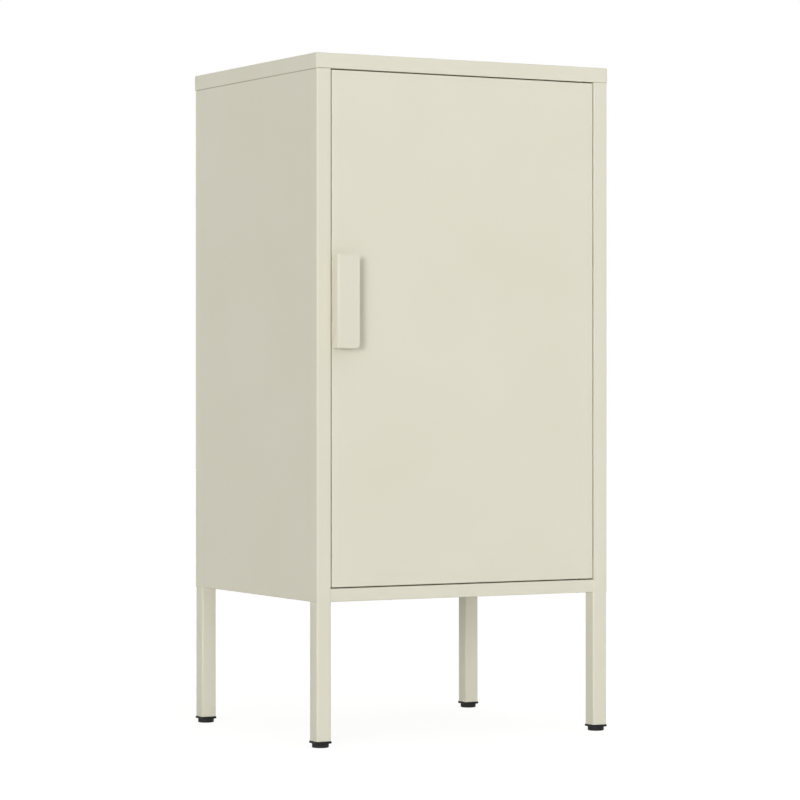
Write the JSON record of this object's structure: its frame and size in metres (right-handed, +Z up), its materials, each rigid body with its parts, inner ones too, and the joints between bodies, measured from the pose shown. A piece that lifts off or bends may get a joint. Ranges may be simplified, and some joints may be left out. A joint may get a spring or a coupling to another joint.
{
  "type": "metal cabinet",
  "caption": "Tall narrow sheet steel cabinet with a flush inset door, folded edge pull, adjustable shelf and square legs on screw feet.",
  "frame": {"origin": "on the floor, under the middle of the whole object's box, pull handle and back screws included", "axes": "+Z up, the door faces -Y, +X to the right as seen from the front"},
  "size_m": [0.42, 0.3664, 0.85],
  "materials": {
    "powder_coat": "fine matt powder coat, cream",
    "zinc_steel": "bright zinc plate",
    "black_plastic": "moulded black polypropylene",
    "nylon": "moulded black nylon",
    "white_plastic": "moulded white plastic",
    "ferrite": "sintered dark grey",
    "rubber": "matt dark grey"
  },
  "bodies": {
    "carcass": {"top_panel": "powder_coat", "left_side_panel": "powder_coat", "right_side_panel": "powder_coat", "back_panel": "powder_coat", "bottom_panel": "powder_coat", "leg_front_left": "powder_coat", "leg_front_right": "powder_coat", "leg_back_left": "powder_coat", "leg_back_right": "powder_coat", "leg_end_plates": "powder_coat", "leg_studs": "zinc_steel", "leg_washers": "zinc_steel", "leg_nuts": "zinc_steel", "leg_plug_front_left": "black_plastic", "leg_plug_front_right": "black_plastic", "leg_plug_back_left": "black_plastic", "leg_plug_back_right": "black_plastic", "top_panel_studs": "zinc_steel", "top_panel_nuts": "zinc_steel", "back_panel_screws": "zinc_steel", "shelf_clips": "zinc_steel", "upper_pivot_bush": "nylon", "lower_pivot_bush": "nylon", "catch_case": "white_plastic", "catch_pole_plates": "zinc_steel", "catch_magnet": "ferrite", "catch_screws": "zinc_steel", "door_stop": "rubber"},
    "door": {"door_panel": "powder_coat", "door_stiffener": "powder_coat", "upper_pivot_pin": "zinc_steel", "lower_pivot_pin": "zinc_steel", "pull_handle": "powder_coat", "handle_screws": "zinc_steel"},
    "shelf": {"shelf_panel": "powder_coat"},
    "foot_front_left": {"screw_foot_front_left": "black_plastic"},
    "foot_front_right": {"screw_foot_front_right": "black_plastic"},
    "foot_back_left": {"screw_foot_back_left": "black_plastic"},
    "foot_back_right": {"screw_foot_back_right": "black_plastic"}
  },
  "joints": [
    {"name": "door_hinge", "type": "hinge", "parent": "carcass", "child": "door", "pos_m": [0.1741, -0.16225, 0.1958], "axis": [0, 0, 1], "range_deg": [0, 120]},
    {"name": "shelf_lift", "type": "slide", "parent": "carcass", "child": "shelf", "axis": [0, 0, 1], "range_m": [0, 0.03]},
    {"name": "foot_screw_front_left", "type": "slide", "parent": "carcass", "child": "foot_front_left", "axis": [0, 0, -1], "range_m": [0, 0.01]},
    {"name": "foot_screw_front_right", "type": "slide", "parent": "carcass", "child": "foot_front_right", "axis": [0, 0, -1], "range_m": [0, 0.01]},
    {"name": "foot_screw_back_left", "type": "slide", "parent": "carcass", "child": "foot_back_left", "axis": [0, 0, -1], "range_m": [0, 0.01]},
    {"name": "foot_screw_back_right", "type": "slide", "parent": "carcass", "child": "foot_back_right", "axis": [0, 0, -1], "range_m": [0, 0.01]}
  ]
}
